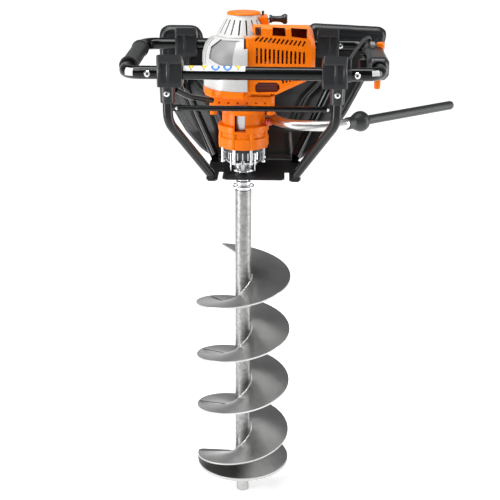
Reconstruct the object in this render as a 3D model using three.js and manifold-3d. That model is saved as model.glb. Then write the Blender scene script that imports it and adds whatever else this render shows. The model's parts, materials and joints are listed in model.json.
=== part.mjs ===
// One-person earth auger: petrol engine and gearbox in a tube frame with a hip pad, driving a 200 mm bit.
// Millimetres, +Z up, the bit's axis on Z, the flat end of the pilot point at the origin, the front at -Y.
import * as THREE from "three";
import { mergeVertices } from "three/addons/utils/BufferGeometryUtils.js";
import Module from "manifold-3d";

const wasm = await Module();
wasm.setup();

// ---- driving dimensions ----
const BIT_R = 100, // bit radius
  TUBE_R = 16.6, // bit tube
  TUBE_TOP = 704,
  PITCH = 120.8, // rise of the flight in one turn
  FLIGHT_Z = 30.7, // height of the flight at angle 0, extended
  FLIGHT_T = 4,
  FLIGHT_START = 180,
  FLIGHT_END = 1560,
  FRAME_X = 22, // middle of the handle frame
  RAIL_Y = 172,
  RAIL_Z = 973,
  RAIL_R = 12.5,
  LEFT_X = -212, // handle bars
  LEFT_LEAN = -7, // how much further out the left bar is at its rear end
  RIGHT_X = 257,
  SCREW_X = 190,
  BLOCK_X = 149.5,
  LEG_X = 155.5,
  LEG_R = 9.5,
  PLATE_Z = 741, // underside of the base plate
  ARM_Z = 847,
  CAP_X = -30, // fuel cap
  GAP = 0.3;

const DEG = Math.PI / 180;
const V = (x, y, z) => new THREE.Vector3(x, y, z);

// Positions only, corners merged, collapsed faces dropped, faces turned outwards.
function clean(geo) {
  const g = new THREE.BufferGeometry();
  g.setAttribute("position", geo.getAttribute("position").clone());
  if (geo.index) g.setIndex(geo.index.clone());
  const m = mergeVertices(g, 1e-4);
  const p = m.getAttribute("position");
  const kept = [];
  let volume = 0;
  for (let i = 0; i < m.index.count; i += 3) {
    const [a, b, c] = [0, 1, 2].map((k) => m.index.getX(i + k));
    if (a === b || b === c || a === c) continue;
    kept.push(a, b, c);
    const [u, v, w] = [a, b, c].map((k) => V().fromBufferAttribute(p, k));
    volume += u.dot(v.cross(w));
  }
  if (volume < 0) for (let i = 0; i < kept.length; i += 3) [kept[i], kept[i + 1]] = [kept[i + 1], kept[i]];
  m.setIndex(kept);
  return m;
}

function solid(geo) {
  const m = clean(geo);
  return new wasm.Manifold(
    new wasm.Mesh({
      numProp: 3,
      vertProperties: new Float32Array(m.getAttribute("position").array),
      triVerts: new Uint32Array(m.index.array),
    }),
  );
}

function geometryOf(s) {
  const m = s.getMesh();
  const g = new THREE.BufferGeometry();
  g.setAttribute("position", new THREE.BufferAttribute(new Float32Array(m.vertProperties), 3));
  g.setIndex(Array.from(m.triVerts));
  return g;
}

const join = (...geos) => geometryOf(geos.map(solid).reduce((a, b) => a.add(b)));
const common = (a, b) => geometryOf(solid(a).intersect(solid(b)));
const cut = (geo, ...tools) => geometryOf(tools.map(solid).reduce((a, b) => a.subtract(b), solid(geo)));

// A body turned about Z from [radius, height] pairs.
function turned(profile, segs = 32) {
  return new THREE.LatheGeometry(profile.map(([r, z]) => new THREE.Vector2(r, z)), segs).rotateX(Math.PI / 2);
}

// A turned body moved and laid along a direction from a point.
function turnedAlong(profile, from, dir, segs = 16) {
  const q = new THREE.Quaternion().setFromUnitVectors(V(0, 0, 1), dir.clone().normalize());
  return turned(profile, segs).applyQuaternion(q).translate(from.x, from.y, from.z);
}

function rod(from, to, r, r2 = r, segs = 12) {
  const d = to.clone().sub(from);
  return turnedAlong([[0, 0], [r, 0], [r2, d.length()], [0, d.length()]], from, d, segs);
}

function box(x0, x1, y0, y1, z0, z1) {
  return new THREE.BoxGeometry(x1 - x0, y1 - y0, z1 - z0).translate((x0 + x1) / 2, (y0 + y1) / 2, (z0 + z1) / 2);
}

function outline(points) {
  return new THREE.Shape(points.map(([x, y]) => new THREE.Vector2(x, y)));
}

// A rectangle with rounded corners.
function roundRect(x0, x1, y0, y1, r) {
  const s = new THREE.Shape();
  s.moveTo(x0 + r, y0).lineTo(x1 - r, y0).absarc(x1 - r, y0 + r, r, -Math.PI / 2, 0);
  s.lineTo(x1, y1 - r).absarc(x1 - r, y1 - r, r, 0, Math.PI / 2);
  s.lineTo(x0 + r, y1).absarc(x0 + r, y1 - r, r, Math.PI / 2, Math.PI);
  s.lineTo(x0, y0 + r).absarc(x0 + r, y0 + r, r, Math.PI, 1.5 * Math.PI);
  return s;
}

// A shape in X and Y raised from z0 to z1, its edges rounded by bevel.
function raised(shape, z0, z1, bevel = 0, curve = 3) {
  return new THREE.ExtrudeGeometry(shape, {
    depth: z1 - z0 - 2 * bevel,
    bevelEnabled: bevel > 0,
    bevelThickness: bevel,
    bevelSize: bevel,
    bevelOffset: -bevel,
    bevelSegments: 1,
    curveSegments: curve,
  }).translate(0, 0, z0 + bevel);
}

// The same for a shape in X and Z, carried from y0 (front) to y1 (rear).
const carried = (shape, y0, y1, bevel = 0, curve = 3) =>
  raised(shape, -y1, -y0, bevel, curve).rotateX(Math.PI / 2);

// Stations of a bent tube: straight runs with arcs of the given radius at the inner corners.
function bends(points, radius, steps = 5) {
  const out = [points[0]];
  for (let i = 1; i < points.length - 1; i++) {
    const p = points[i];
    const a = points[i - 1].clone().sub(p).normalize();
    const b = points[i + 1].clone().sub(p).normalize();
    const half = a.angleTo(b) / 2;
    const centre = p.clone().addScaledVector(a.clone().add(b).normalize(), radius / Math.sin(half));
    const from = p.clone().addScaledVector(a, radius / Math.tan(half)).sub(centre);
    const to = p.clone().addScaledVector(b, radius / Math.tan(half)).sub(centre);
    const axis = from.clone().cross(to).normalize();
    for (let k = 0; k <= steps; k++)
      out.push(from.clone().applyAxisAngle(axis, (from.angleTo(to) * k) / steps).add(centre));
  }
  out.push(points.at(-1));
  return out;
}

class Stations extends THREE.Curve {
  constructor(points) {
    super();
    this.points = points;
  }
  at(t) {
    return Math.round(t * (this.points.length - 1));
  }
  getPoint(t) {
    return this.points[this.at(t)].clone();
  }
  getPointAt(t) {
    return this.getPoint(t);
  }
  getTangent(t) {
    const i = this.at(t);
    const last = this.points.length - 1;
    const d = V(0, 0, 0);
    if (i > 0) d.add(this.points[i].clone().sub(this.points[i - 1]).normalize());
    if (i < last) d.add(this.points[i + 1].clone().sub(this.points[i]).normalize());
    return d.normalize();
  }
  getTangentAt(t) {
    return this.getTangent(t);
  }
}

function tube(points, r, sides = 16) {
  return new THREE.ExtrudeGeometry(new THREE.Shape().absarc(0, 0, r, 0, 2 * Math.PI), {
    steps: points.length - 1,
    curveSegments: sides / 2,
    bevelEnabled: false,
    extrudePath: new Stations(points),
  });
}

// A screw flight from angle a0 to a1 in degrees, its ends stopping short of the seam.
function flight(a0, a1, z0, pitch, thick, step = 7.5) {
  const g = new THREE.BoxGeometry(1, 1, 1, Math.ceil((a1 - a0) / step), 2, 1);
  const p = g.getAttribute("position");
  for (let i = 0; i < p.count; i++) {
    const r = THREE.MathUtils.lerp(TUBE_R + GAP, BIT_R, p.getY(i) + 0.5);
    const clear = GAP / 2 / r / DEG;
    const a = THREE.MathUtils.lerp(a0 + clear, a1 - clear, p.getX(i) + 0.5);
    p.setXYZ(i, r * Math.cos(a * DEG), r * Math.sin(a * DEG), z0 + (pitch * a) / 360 + thick * p.getZ(i));
  }
  return g;
}

// ---- materials ----
const paint = (colour, roughness, metalness = 0) =>
  new THREE.MeshStandardMaterial({ color: colour, roughness, metalness });
const ORANGE = [0xf47a0e, 0.35],
  WHITE = [0xe8e8e8, 0.4],
  GREY = [0xa9aba8, 0.5],
  BLACK_PAINT = [0x0c0d0f, 0.22],
  BLACK_PLASTIC = [0x3a3d40, 0.5],
  RUBBER = [0x2c2f31, 0.6],
  SILVER = [0xd0d2d4, 0.25, 1],
  CASTING = [0xb4b6b8, 0.45, 1],
  STEEL = [0x9c9a97, 0.5, 0.8],
  EDGE = [0xc9c8c4, 0.35, 1];

const auger = new THREE.Group();
auger.name = "earth_auger";
function add(name, geo, [colour, roughness, metalness]) {
  const g = clean(geo).toNonIndexed();
  g.computeVertexNormals();
  const mesh = new THREE.Mesh(g, paint(colour, roughness, metalness));
  mesh.name = name;
  auger.add(mesh);
}

// ---- bit ----
function bit() {
  // Tube with a round socket at the top for the spindle.
  add(
    "auger_tube",
    turned([[0, 80.3], [TUBE_R, 80.3], [TUBE_R, TUBE_TOP], [11.3, TUBE_TOP], [11.3, TUBE_TOP - 60], [0, TUBE_TOP - 60]], 32),
    STEEL,
  );
  for (let k = 0; k < 4; k++) {
    const a0 = FLIGHT_START + 360 * k;
    add("flight_turn_" + (k + 1), flight(a0, Math.min(a0 + 360, FLIGHT_END), FLIGHT_Z, PITCH, FLIGHT_T), STEEL);
  }
  // Nearly flat cutting flight under the first turn, thicker than the screw.
  add("lower_flight", cut(flight(180, 400, 74.5, 8, 6.5), box(-30, 30, -30, 30, 0, 80.3)), STEEL);
  add(
    "cutting_blade",
    raised(outline([[-99, 0.6], [-18, 0.6], [-18, 9], [-90, 13], [-99, 10]]), 86.5, 91.5),
    EDGE,
  );
  add("pilot_point", turned([[0, 0], [14, 0], [13, 22], [12.5, 80], [0, 80]], 20), STEEL);
  // Wire ring and cross pin that lock the tube to the spindle.
  const ring = bends([V(21, 0, 712), V(0, -21, 712), V(-21, 0, 712)], 1, 1);
  ring.length = 0;
  for (let a = -170; a <= 170; a += 20) ring.push(V(21 * Math.cos(a * DEG), 21 * Math.sin(a * DEG), 712));
  add("locking_ring", tube(ring, 1.6, 8), SILVER);
}

// ---- gearbox ----
function gearbox() {
  add(
    "output_spindle",
    turned(
      [
        [0, 650], [11, 650], [11, TUBE_TOP + GAP], [15, TUBE_TOP + GAP], [15, 722], [13, 724], [13, 748], [11, 750],
        [11, 792], [0, 792],
      ],
      32,
    ),
    CASTING,
  );
  const ribs = [];
  for (let k = 0; k < 8; k++) {
    const a = (k + 0.5) * 45 * DEG;
    const at = (r, z) => V(r * Math.cos(a), r * Math.sin(a), z);
    ribs.push(rod(at(44, 770), at(44, 796.6), 3, 3, 6));
    ribs.push(
      box(15, 44, -3, 3, 786, 794).rotateZ(a),
      box(16, 36, -1.5, 1.5, 764, 790).rotateZ(a + 22.5 * DEG),
    );
  }
  const cover = turned(
    [[13.4, 751], [20, 751], [20, 765], [31, 768], [37, 776], [37, 788], [40, 790], [40, 796.6], [13.4, 796.6], [13.4, 751]],
    28,
  );
  add("gearbox_cover", join(cover, ...ribs), CASTING);
  const housing = turned(
    [
      [0, 800], [30, 800], [30, 797], [49, 797], [50.5, 800], [50.5, 818], [47.5, 820], [47.5, 829], [51, 831],
      [51, 842], [43, 845], [43, 868], [50, 878], [50, 886], [38, 886], [38, 812], [0, 812],
    ],
    28,
  );
  const flange = cut(
    raised(roundRect(-66, 62, -46, 46, 14), 877, 905.7, 1.5, 3),
    turned([[0, 800], [38, 800], [38, 920], [0, 920]], 28),
  );
  const lugs = [];
  for (let k = 1; k < 8; k++) {
    const a = (k + 0.5) * 45 * DEG;
    lugs.push(rod(V(47 * Math.cos(a), 47 * Math.sin(a), 797), V(47 * Math.cos(a), 47 * Math.sin(a), 842), 5, 5, 8));
  }
  for (const [x, y] of [[-58, -38], [54, -38], [-58, 38], [54, 38]]) lugs.push(rod(V(x, y, 868), V(x, y, 890), 7, 7, 10));
  const window = box(-16, 6, -60, -30, 834, 865);
  const holes = [0, 1, 2, 3, 4, 5].map((k) => rod(V(-46 + 18 * k, -50, 892), V(-46 + 18 * k, -42, 892), 2.4, 2.4, 6));
  add("gear_housing", cut(join(housing, flange, ...lugs), window, ...holes), ORANGE);
  add(
    "clutch_drum",
    turned([[0, 818], [30, 818], [34, 822], [34, 884], [31, 884], [31, 826], [0, 826]], 28),
    CASTING,
  );
  // Clamp that holds the support arm, with its mouth to the right and rear.
  const d = V(24, -41, 0).normalize();
  const mouth = V(50, 33, ARM_Z);
  add(
    "arm_socket",
    cut(
      join(
        rod(mouth.clone().addScaledVector(d, -34), mouth.clone().addScaledVector(d, 6), 16, 16, 20),
        raised(roundRect(22, 62, 30, 64, 5), 846, 868, 1, 3),
      ),
      rod(mouth.clone().addScaledVector(d, -20), mouth.clone().addScaledVector(d, 20), 10.8, 10.8, 20),
      turned([[0, 800], [51.4, 800], [51.4, 868], [0, 868]], 28),
      box(0, 90, 0, 90, 867.6, 880),
    ),
    ORANGE,
  );
  add(
    "arm_latch",
    join(rod(V(48, -24, 842.4), V(48, -24, 856), 4, 4, 12), raised(roundRect(45, 54, -36, -16, 3), 848, 854, 0, 2)),
    [0xb3202a, 0.4],
  );
}

// ---- engine ----
function engine() {
  add(
    "crankcase",
    cut(
      join(
        raised(
          outline([[-74, -44], [-60, -60], [6, -60], [18, -44], [54, -44], [54, 44], [30, 62], [-60, 62], [-74, 44]]),
          906, 933, 2,
        ),
        cut(turned([[0, 906], [78, 906], [80, 908], [80, 919.4], [0, 919.4]], 32), box(2.6, 100, -100, 100, 900, 930)),
        turned([[0, 930], [44, 930], [40, 979], [0, 979]], 28),
      ),
      turned([[0, 900], [11, 900], [11, 985], [0, 985]], 20),
      turned([[72, 919.4], [110, 919.4], [110, 940], [72, 940], [72, 919.4]], 32),
      rod(V(20, 0, 957), V(70, 0, 957), 20.5, 20.5, 20),
    ),
    ORANGE,
  );
  add(
    "cylinder",
    join(
      rod(V(41, 0, 957), V(100, 0, 957), 18, 18, 16),
      ...[0, 1, 2, 3, 4].map((k) => box(58 + 9 * k, 61 + 9 * k, -30, 30, 937, 980)),
    ),
    CASTING,
  );
  add("muffler", raised(roundRect(64, 112, -58, -32, 6), 946, 982, 3, 3), [0x4a1512, 0.5]);
  add(
    "flywheel",
    join(
      turned([[0, 893], [10, 893], [10, 980], [18, 984], [56, 984], [56, 992], [18, 992], [12, 1012], [0, 1012]], 28),
      ...[...Array(12).keys()].map((k) => box(22, 54, -1, 1, 990, 1008).rotateZ(30 * k * DEG)),
    ),
    CASTING,
  );
  // Half shell round the flywheel, open underneath and towards the shroud, with ribs on its shoulder
  // and a sunk panel on its front left.
  const skin = (t) => [
    [79 + t, 919.8], [80 + t, 940], [81 + t, 960], [80 + t, 985], [75 + t, 1000 + t], [66 + t, 1011 + t], [54.5, 1017.6],
  ];
  const hollow = [[51, 1017.6], [51, 1012], [61, 1007], [69, 996], [73, 984], [74, 960], [74, 919.8]];
  const ring = (t) => turned([...skin(t), ...hollow, skin(t)[0]], 32);
  const ribs = [0, 1, 2, 3, 4].map((k) =>
    common(ring(1.3), box(50, 90, -1.2, 1.2, 965, 1015).rotateZ((168 + 9 * k) * DEG)),
  );
  const panel = common(
    turned([[77, 964], [77.3, 985], [72.3, 998], [64, 1008.5], [58, 1012.5], [64, 1024], [95, 1024], [95, 964], [77, 964]], 32),
    carried(
      outline([
        [-28, 978], [-28, 1001], [-15, 1012], [-8, 1030], [28, 1030], [28, 966], [22, 966], [2, 969], [-14, 973],
      ]),
      -100, -30,
    ).rotateZ(-33.5 * DEG),
  );
  add(
    "fan_housing",
    cut(
      join(ring(0), ...ribs),
      // Open towards the shroud, but for a lip in front of the shroud's edge.
      box(10, 100, -100, 100, 900, 1020),
      box(2.6, 100, -71.5, 100, 900, 1020),
      box(2.6, 100, -100, 100, 1001, 1020),
      panel,
    ),
    WHITE,
  );
  shroud();
  starter();
  add("air_filter_cover", raised(roundRect(10, 82, 86, 146, 12), 925, 1000, 5, 3), BLACK_PLASTIC);
  add(
    "carburettor",
    join(box(30, 62, 70.4, 85.6, 944, 972), rod(V(49, 19, 957), V(49, 72, 957), 8, 8, 12)),
    CASTING,
  );
  add(
    "choke_lever",
    join(rod(V(62.4, 78, 960), V(66, 78, 960), 5, 5, 12), box(64, 66, 76, 80, 960, 984), box(64, 76, 76, 80, 981, 984)),
    BLACK_PLASTIC,
  );
  add(
    "fuel_tank",
    join(
      raised(roundRect(-86, 4, 86, 146, 14), 905, 985, 6, 3),
      rod(V(CAP_X, 116, 980), V(CAP_X, 116, 992), 13, 13, 20),
    ),
    [0xd9d7cc, 0.35],
  );
  const cap = turned([[0, 992.3], [17, 992.3], [18, 994], [18, 1004], [16, 1006], [0, 1006]], 16);
  add("fuel_cap", cap.translate(CAP_X, 116, 0), BLACK_PLASTIC);
}

function shroud() {
  const side = [
    [3, 911], [62, 911], [128, 942], [139, 952], [139, 1004], [136.5, 1018], [128, 1030], [127.5, 1045], [19, 1046.5],
    [19, 1029], [1, 1024], [3, 1018],
  ];
  const outer = carried(outline(side), -70, 70, 7, 2);
  const inner = carried(
    outline([
      [-10, 900], [64, 900], [66, 914.5], [126, 945], [135.5, 954], [135.5, 1003], [133, 1016.5], [124.5, 1029],
      [124, 1041.5], [31, 1041.5], [-10, 1018],
    ]),
    -66.5, 66.5, 5, 2,
  );
  // The roof falls away behind its front edge, and passes under the starter grip.
  const roof = (z) => box(-20, 160, 0, 180, 0, 60).rotateX(-8.6 * DEG).translate(0, -60, z);
  const cone = turned([[0, 1008], [55, 1008], [55, 1021], [34.5, 1055], [34.5, 1070], [0, 1070]], 32);
  // Turret beside the starter that guides the rope.
  const turret = carried(outline([[16, 1031], [51, 1031], [45, 1054.5], [16, 1054.5]]), -22, 29);
  const tools = [cut(inner, roof(1042.3)), cone];
  const windows = [
    [[24, 1026], [35, 1026], [35, 1042], [24, 1042]],
    [[57, 1026.5], [82, 1025], [80.5, 1041], [57, 1042]],
    [[93, 1024.5], [122, 1021], [122, 1039.5], [91.5, 1041]],
    [[25, 921], [29, 917.5], [67, 919], [72, 925], [71, 933], [65, 937.5], [31, 937.5], [25, 932]],
  ];
  for (const w of windows) tools.push(carried(outline(w), -80, -60));
  for (let k = 0; k < 12; k++) {
    tools.push(
      box(-1.7, 1.7, -80, -60, -5.4, 5.4).rotateY((44 - 1.5 * k) * DEG).translate(28 + 8.05 * k, 0, 1020 - 0.75 * k),
    );
    tools.push(box(25.7 + 8.15 * k, 29.6 + 8.15 * k, -80, -60, 973.3, 1003.5 - 0.7 * k));
  }
  for (let k = 0; k < 5; k++) tools.push(box(76.5 + 6.7 * k, 80 + 6.7 * k, -80, -60, 935.5 + 1.8 * k, 950));
  // Hole for the inlet.
  tools.push(rod(V(49, 50, 957), V(49, 90, 957), 9, 9, 12));
  const bore = rod(V(0, 18.5, 1046.5), V(60, 18.5, 1046.5), 3, 3, 10);
  add("engine_shroud", cut(join(cut(outer, roof(1046)), turret), bore, ...tools), ORANGE);
}

function starter() {
  const cone = turned(
    [[53, 1018], [53, 1020], [33, 1054], [33, 1058], [18, 1058], [18, 1055.4], [30, 1055.4], [30, 1052.5], [49.5, 1019], [49.5, 1018], [53, 1018]],
    32,
  );
  const slots = [...Array(20).keys()].map((k) => box(28, 60, -1.5, 1.5, 1023, 1050).rotateZ((18 * k + 9) * DEG));
  add("starter_housing", cut(cone, ...slots, rod(V(10, 18.5, 1046.5), V(60, 18.5, 1046.5), 3, 3, 10)), WHITE);
  add("starter_cap", turned([[0, 1058.3], [33, 1058.3], [33, 1060.5], [31, 1062.5], [12, 1063.5], [0, 1063.5]], 28), ORANGE);
  add(
    "starter_pulley",
    turned([[0, 1014], [12, 1014], [12, 1036], [24, 1038], [24, 1041], [16, 1042], [16, 1050.5], [24, 1051.5], [24, 1054], [0, 1054]], 32),
    BLACK_PLASTIC,
  );
  // Grip with the straight run of rope that follows it out.
  add(
    "starter_grip",
    join(
      turnedAlong(
        [[0, 0], [8, 0], [8, 4], [6, 6], [5.6, 14], [6.4, 23], [9.5, 28], [10, 31], [9.5, 34], [7, 35.5], [0, 35.5]],
        V(49.4, 18.5, 1046.5), V(1, 0, 0), 20,
      ),
      rod(V(-16, 18.5, 1046.5), V(50, 18.5, 1046.5), 1.6, 1.6, 8),
    ),
    BLACK_PLASTIC,
  );
}

// ---- frame ----
function frame() {
  const x = (dx) => FRAME_X + dx;
  for (const [name, s] of [["front_rail", -1], ["rear_rail", 1]])
    add(name, rod(V(x(-SCREW_X - 12), s * RAIL_Y, RAIL_Z), V(x(SCREW_X + 12), s * RAIL_Y, RAIL_Z), RAIL_R, RAIL_R, 16), BLACK_PAINT);
  for (const [name, s, hx] of [["left_handle_bar", -1, LEFT_X], ["right_handle_bar", 1, RIGHT_X]])
    add(
      name,
      tube(
        bends(
          [
            V(x(s * (SCREW_X + 12.3)), -RAIL_Y, RAIL_Z), V(hx, -RAIL_Y, RAIL_Z),
            V(s < 0 ? hx + LEFT_LEAN : hx, RAIL_Y, RAIL_Z), V(x(s * (SCREW_X + 12.3)), RAIL_Y, RAIL_Z),
          ],
          28, 5,
        ),
        RAIL_R, 16,
      ),
      BLACK_PAINT,
    );
  let k = 0;
  for (const [sx, sy] of [[-1, -1], [1, -1], [-1, 1], [1, 1]]) {
    const tag = ["fl", "fr", "rl", "rr"][k++];
    const at = V(x(sx * SCREW_X), sy * (RAIL_Y + RAIL_R + GAP - 1.2), RAIL_Z);
    add(
      "handle_screw_" + tag,
      cut(
        turnedAlong([[0, 1.2], [5.6, 1.2], [6, 3], [4.6, 4.8], [0, 5.2]], at, V(0, sy, 0), 16),
        rod(V(at.x, at.y + sy * 3.4, at.z), V(at.x, at.y + sy * 8, at.z), 2.2, 2.2, 6),
      ),
      SILVER,
    );
    block("clamp_block_" + tag, sx, sy);
    leg("leg_" + tag, sx, sy);
  }
  // Flat-ended bar between the front legs.
  add(
    "cross_bar",
    join(
      rod(V(x(-LEG_X + 18), -RAIL_Y, 908), V(x(LEG_X - 18), -RAIL_Y, 908), 5.2, 5.2, 12),
      box(x(-LEG_X + LEG_R + GAP), x(-LEG_X + 26), -RAIL_Y - 2, -RAIL_Y + 2, 902, 914),
      box(x(LEG_X - 26), x(LEG_X - LEG_R - GAP), -RAIL_Y - 2, -RAIL_Y + 2, 902, 914),
    ),
    BLACK_PAINT,
  );
  const plate = outline([
    [-54, -74], [-49, -66], [-49, -6], [-40, -6], [-40, -57], [-33, -64], [77, -64], [84, -57], [84, -6], [93, -6],
    [93, -66], [98, -74], [111, -74], [116, -60], [116, 74], [108, 82], [-64, 82], [-72, 74], [-72, -60], [-67, -74],
  ]);
  add(
    "base_plate",
    cut(raised(plate, PLATE_Z, PLATE_Z + 4), turned([[0, 730], [21, 730], [21, 760], [0, 760]], 32)),
    BLACK_PAINT,
  );
  // Strut from the left front leg in to the rear of the gearbox.
  add(
    "pad_strut",
    tube(bends([V(-120, -154, 938), V(-97, -122, 919), V(-58.5, -70, 902)], 60, 4), 5.6, 12),
    BLACK_PAINT,
  );
}

// Moulded clamp round the rail, with a cap, ribs down its faces and a sleeve for the leg.
function block(name, sx, sy) {
  const cx = FRAME_X + sx * BLOCK_X;
  const y = sy * RAIL_Y;
  const body = raised(roundRect(cx - 23, cx + 23, y - 24, y + 24, 4), 950, 1009, 0, 2);
  const cap = raised(roundRect(cx - 22, cx + 22, y - 26, y + 23, 4), 995, 1012, 0, 2);
  const sleeve = rod(V(FRAME_X + sx * LEG_X, y, 918), V(FRAME_X + sx * LEG_X, y, 956), 13.5, 14.5, 20);
  const leg = rod(V(FRAME_X + sx * LEG_X, y, 900), V(FRAME_X + sx * LEG_X, y, 946), LEG_R + GAP, LEG_R + GAP, 20);
  // Pockets under the cap, deepest at their tops, leave a rib on each side of the outer half.
  const pocket = (x0, x1, f) =>
    box(Math.min(sx * x0, sx * x1), Math.max(sx * x0, sx * x1), -20, 20, 0, 37)
      .translate(0, f * 20, 0).rotateX(f * 5.5 * DEG).translate(cx, y + f * 24, 958);
  const pockets = [-1, 1].flatMap((f) => [pocket(4, 16, f), pocket(-30, 0, f), pocket(20, 30, f)]);
  // The top falls away towards the rear.
  const slope = box(-40, 40, -60, 60, 0, 60).rotateX(-23 * DEG).translate(cx, y, 999);
  const rail = rod(V(cx - 40, y, RAIL_Z), V(cx + 40, y, RAIL_Z), RAIL_R + GAP, RAIL_R + GAP, 20);
  add(name, cut(join(cut(body, ...pockets), cap, sleeve), slope, rail, leg), BLACK_PLASTIC);
}

// Leg: down from the block, then in and back to an ear of the base plate, its end flattened.
function leg(name, sx, sy) {
  const x0 = FRAME_X + sx * LEG_X;
  const x1 = FRAME_X + sx * 84;
  const end = V(x1, sy * 70, PLATE_Z + 14);
  const path = bends([V(x0, sy * RAIL_Y, 945), V(x0, sy * RAIL_Y, 882), end], 45, 5);
  const tip = box(-7, 7, -9, 9, PLATE_Z + 4 + GAP, PLATE_Z + 14).translate(end.x, end.y, 0);
  add(name, join(tube(path, LEG_R, 16), tip), BLACK_PAINT);
}

function controls() {
  const hx = RIGHT_X;
  const lx = LEFT_X;
  const grip = [[13.0, 0], [18, 0], [18, 8], [16, 11], [16, 199], [18, 202], [18, 210], [13.0, 210], [13.0, 0]];
  const along = V(LEFT_LEAN, 2 * RAIL_Y, 0).normalize();
  add("left_grip", turnedAlong(grip, V(lx + LEFT_LEAN / 2, 0, RAIL_Z).addScaledVector(along, -105), along, 20), RUBBER);
  // Housing round the bar, wider at the back, hollow under the trigger.
  const body = join(
    carriedX(roundRect(-118, 62, 950, 994, 16), hx - 22, hx + 19, 8),
    carriedX(roundRect(-4, 60, 966, 997, 14), hx - 19, hx + 18, 6),
  );
  add(
    "control_housing",
    cut(
      body,
      rod(V(hx, -140, RAIL_Z), V(hx, 140, RAIL_Z), RAIL_R + GAP, RAIL_R + GAP, 20),
      box(hx - 30, hx - 14, -70, -8, 958, 986),
      box(hx - 9, hx + 2, 0, 44, 988, 1010),
      rod(V(hx + 12, 14, 986.4), V(hx + 12, 14, 1016), 8.4, 8.4, 16),
      rod(V(hx - 1, -98, 930), V(hx - 1, -98, 959.8), 6.4, 6.4, 16),
      rod(V(hx - 6, 52, 986), V(hx - 6, 52, 1010), 3.6, 3.6, 10),
    ),
    BLACK_PLASTIC,
  );
  add(
    "throttle_trigger",
    join(
      rod(V(hx - 24, -14, 960), V(hx - 24, -14, 984), 4, 4, 12),
      raised(outline([[hx - 26, -16], [hx - 21, -16], [hx - 21, -60], [hx - 32, -64], [hx - 36, -58], [hx - 27, -46]]), 962, 982, 1),
    ),
    BLACK_PLASTIC,
  );
  add(
    "trigger_lockout",
    join(
      rod(V(hx - 8, 40, 991.5), V(hx + 1, 40, 991.5), 2.6, 2.6, 10),
      carriedX(outline([[41, 990], [41, 994.6], [24, 1003], [5, 1000], [5, 994]]), hx - 8, hx + 1, 0),
    ),
    GREY,
  );
  add("stop_button", turnedAlong([[0, 0], [8, 0], [8, 11.5], [6.5, 13], [0, 13]], V(hx + 12, 14, 990.4), V(0, 0, 1), 16), ORANGE);
  add("lock_button", turnedAlong([[0, 0], [6, 0], [6, 21], [5, 23], [0, 23]], V(hx - 1, -98, 956), V(0, 0, -1), 16), ORANGE);
  // Outer cable of the throttle, from the front block's top to the housing.
  add(
    "throttle_cable",
    tube(
      bends([V(198.4, -178.5, 1002.2), V(209, -120, 1004), V(hx - 22, 10, 1009), V(hx - 6, 52, 1009), V(hx - 6, 52, 986.6)], 12, 4),
      3.2, 10,
    ),
    RUBBER,
  );
}

// A shape in Y and Z, carried from x0 to x1.
function carriedX(shape, x0, x1, bevel = 0) {
  const g = raised(shape, x0, x1, bevel, 3);
  const m = new THREE.Matrix4().set(0, 0, 1, 0, 1, 0, 0, 0, 0, 1, 0, 0, 0, 0, 0, 1);
  return g.applyMatrix4(m);
}

function supportArm() {
  const at = (x, y) => V(x, y, ARM_Z);
  add(
    "support_arm",
    tube(bends([at(40, 50), at(64, 9), at(96, -36), at(160, -41), at(203, -20), at(237.8, 8.6)], 34, 4), 10.3, 20),
    SILVER,
  );
  const from = at(203, -20);
  const d = at(441, 176).sub(from);
  const n = d.length();
  add(
    "arm_sleeve",
    cut(
      turnedAlong(
        [
          [0, 4], [12.3, 4], [12.3, 17], [13.5, 21], [18.2, 31], [20.2, 36], [20.8, 40], [20.2, 45], [18, 50], [14, 54.5],
          [10.5, 57], [9.3, 60], [9.3, n - 6], [8, n - 2], [5.5, n], [0, n],
        ],
        from, d, 24,
      ),
      rod(from, from.clone().addScaledVector(d.clone().normalize(), 50), 10.7, 10.7, 20),
    ),
    RUBBER,
  );
}

// Hip pad: a tall panel behind the engine, leaning in towards the gearbox, with a gap between its two wings.
function pad() {
  const lean = (z) => {
    const rows = [[735, 92], [790, 118], [850, 164], [900, 195], [945, 202], [1020, 208]];
    for (let i = 1; i < rows.length; i++)
      if (z <= rows[i][0] || i === rows.length - 1) {
        const t = (z - rows[i - 1][0]) / (rows[i][0] - rows[i - 1][0]);
        return THREE.MathUtils.lerp(rows[i - 1][1], rows[i][1], t);
      }
  };
  const sides = [
    [738, -60, 110], [760, -95, 150], [795, -130, 190], [830, -156, 216], [865, -172, 238], [895, -182, 256],
    [925, -188, 274], [955, -190, 290], [985, -190, 298], [997, -186, 297], [1005, -174, 286],
  ];
  const g = new THREE.BoxGeometry(1, 1, 1, 8, 1, sides.length - 1);
  const p = g.getAttribute("position");
  for (let i = 0; i < p.count; i++) {
    const [z, x0, x1] = sides[Math.round((p.getZ(i) + 0.5) * (sides.length - 1))];
    const x = THREE.MathUtils.lerp(x0, x1, p.getX(i) + 0.5);
    const rise = z > 990 && x > 100 ? (290 - x) / 22 : 0;
    p.setXYZ(i, x, lean(z) + 13 + 11 * 2 * p.getY(i), z + rise);
  }
  const gap = carried(outline([
    [-140, 1040], [-120, 1006.5], [-107, 1001], [-98, 989], [-94, 970], [-60, 925], [90, 925], [118, 960], [124, 990],
    [130, 1003], [142, 1013], [150, 1040],
  ]), 150, 260);
  add("hip_pad", cut(g, gap), RUBBER);
}

bit();
gearbox();
engine();
frame();
controls();
supportArm();
pad();

export default auger;
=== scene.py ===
import json
import math

import bmesh
import bpy
import numpy as np
from mathutils import Matrix, Vector


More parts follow.
